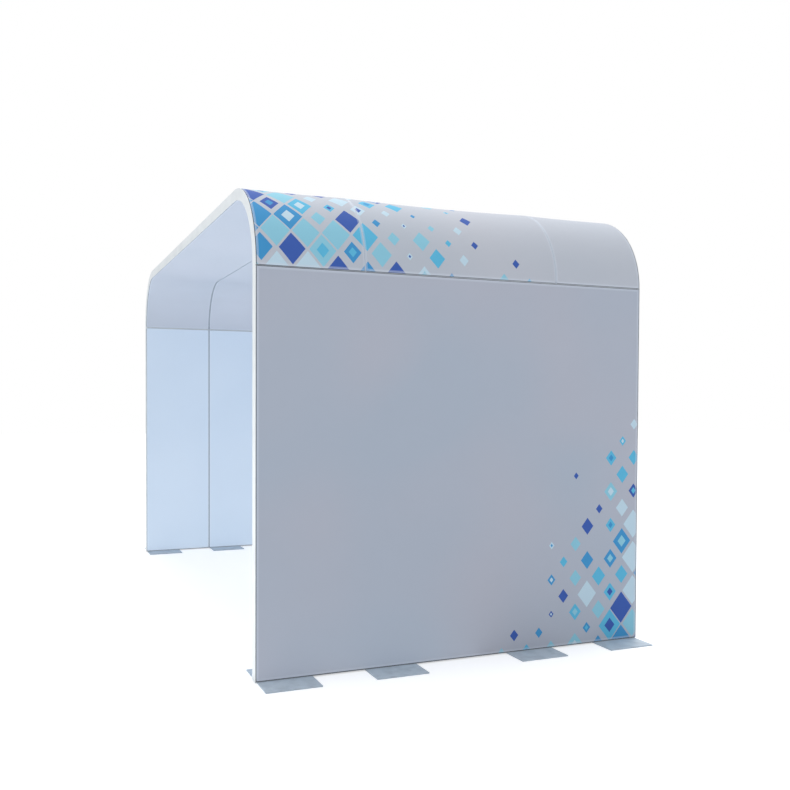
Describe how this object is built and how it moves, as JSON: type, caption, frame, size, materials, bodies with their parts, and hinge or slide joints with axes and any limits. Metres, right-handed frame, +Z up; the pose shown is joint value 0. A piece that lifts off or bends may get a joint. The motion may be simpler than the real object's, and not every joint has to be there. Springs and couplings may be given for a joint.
{
  "type": "exhibition arch",
  "caption": "Walk-through exhibition arch: two fabric-covered walls, rounded corners and a flat roof of jointed frame modules, standing on flat swivel base plates.",
  "frame": {"origin": "on the floor, in the middle of the footprint", "axes": "+Z up, +X to the right across the passage, front end at -Y"},
  "size_m": [4.32, 2.24, 2.456],
  "materials": {
    "white_frame": "satin white powder coat",
    "mill_aluminium": "mill finish",
    "outer_fabric": "matt printed polyester",
    "inner_fabric": "matt polyester",
    "foot_steel": "silver-grey powder coat"
  },
  "bodies": {
    "arch": {"right_wall_front_upright_1": "white_frame", "right_wall_front_upright_2": "white_frame", "right_wall_front_rails": "white_frame", "right_wall_middle_upright_1": "white_frame", "right_wall_middle_upright_2": "white_frame", "right_wall_middle_rails": "white_frame", "right_wall_back_upright_1": "white_frame", "right_wall_back_upright_2": "white_frame", "right_wall_back_rails": "white_frame", "right_wall_braces": "mill_aluminium", "left_wall_front_upright_1": "white_frame", "left_wall_front_upright_2": "white_frame", "left_wall_front_rails": "white_frame", "left_wall_middle_upright_1": "white_frame", "left_wall_middle_upright_2": "white_frame", "left_wall_middle_rails": "white_frame", "left_wall_back_upright_1": "white_frame", "left_wall_back_upright_2": "white_frame", "left_wall_back_rails": "white_frame", "left_wall_braces": "mill_aluminium", "wall_corner_gussets": "mill_aluminium", "front_bends_1": "white_frame", "front_bends_2": "white_frame", "front_corner_rails": "white_frame", "front_roof_rails": "white_frame", "front_roof_bars": "mill_aluminium", "middle_bends_1": "white_frame", "middle_bends_2": "white_frame", "middle_corner_rails": "white_frame", "middle_roof_rails": "white_frame", "middle_roof_bars": "mill_aluminium", "back_bends_1": "white_frame", "back_bends_2": "white_frame", "back_corner_rails": "white_frame", "back_roof_rails": "white_frame", "back_roof_bars": "mill_aluminium", "right_wall_outer_skin": "outer_fabric", "right_wall_inner_skin_front": "inner_fabric", "right_wall_inner_skin_middle": "inner_fabric", "right_wall_inner_skin_back": "inner_fabric", "left_wall_outer_skin": "outer_fabric", "left_wall_inner_skin_front": "inner_fabric", "left_wall_inner_skin_middle": "inner_fabric", "left_wall_inner_skin_back": "inner_fabric", "roof_outer_skin_front": "outer_fabric", "roof_inner_skin_front": "inner_fabric", "roof_outer_skin_middle": "outer_fabric", "roof_inner_skin_middle": "inner_fabric", "roof_outer_skin_back": "outer_fabric", "roof_inner_skin_back": "inner_fabric"},
    "right_foot_1": {"right_foot_1": "foot_steel"},
    "right_foot_2": {"right_foot_2": "foot_steel"},
    "right_foot_3": {"right_foot_3": "foot_steel"},
    "right_foot_4": {"right_foot_4": "foot_steel"},
    "left_foot_1": {"left_foot_1": "foot_steel"},
    "left_foot_2": {"left_foot_2": "foot_steel"},
    "left_foot_3": {"left_foot_3": "foot_steel"},
    "left_foot_4": {"left_foot_4": "foot_steel"}
  },
  "joints": [
    {"name": "right_foot_1_swivel", "type": "hinge", "parent": "arch", "child": "right_foot_1", "pos_m": [1.97, -0.97, 0], "axis": [0, 0, 1], "range_deg": [0, 90]},
    {"name": "right_foot_2_swivel", "type": "hinge", "parent": "arch", "child": "right_foot_2", "pos_m": [1.97, -0.41, 0], "axis": [0, 0, 1], "range_deg": [0, 90]},
    {"name": "right_foot_3_swivel", "type": "hinge", "parent": "arch", "child": "right_foot_3", "pos_m": [1.97, 0.41, 0], "axis": [0, 0, -1], "range_deg": [0, 90]},
    {"name": "right_foot_4_swivel", "type": "hinge", "parent": "arch", "child": "right_foot_4", "pos_m": [1.97, 0.97, 0], "axis": [0, 0, -1], "range_deg": [0, 90]},
    {"name": "left_foot_1_swivel", "type": "hinge", "parent": "arch", "child": "left_foot_1", "pos_m": [-1.97, -0.97, 0], "axis": [0, 0, -1], "range_deg": [0, 90]},
    {"name": "left_foot_2_swivel", "type": "hinge", "parent": "arch", "child": "left_foot_2", "pos_m": [-1.97, -0.41, 0], "axis": [0, 0, -1], "range_deg": [0, 90]},
    {"name": "left_foot_3_swivel", "type": "hinge", "parent": "arch", "child": "left_foot_3", "pos_m": [-1.97, 0.41, 0], "axis": [0, 0, 1], "range_deg": [0, 90]},
    {"name": "left_foot_4_swivel", "type": "hinge", "parent": "arch", "child": "left_foot_4", "pos_m": [-1.97, 0.97, 0], "axis": [0, 0, 1], "range_deg": [0, 90]}
  ]
}
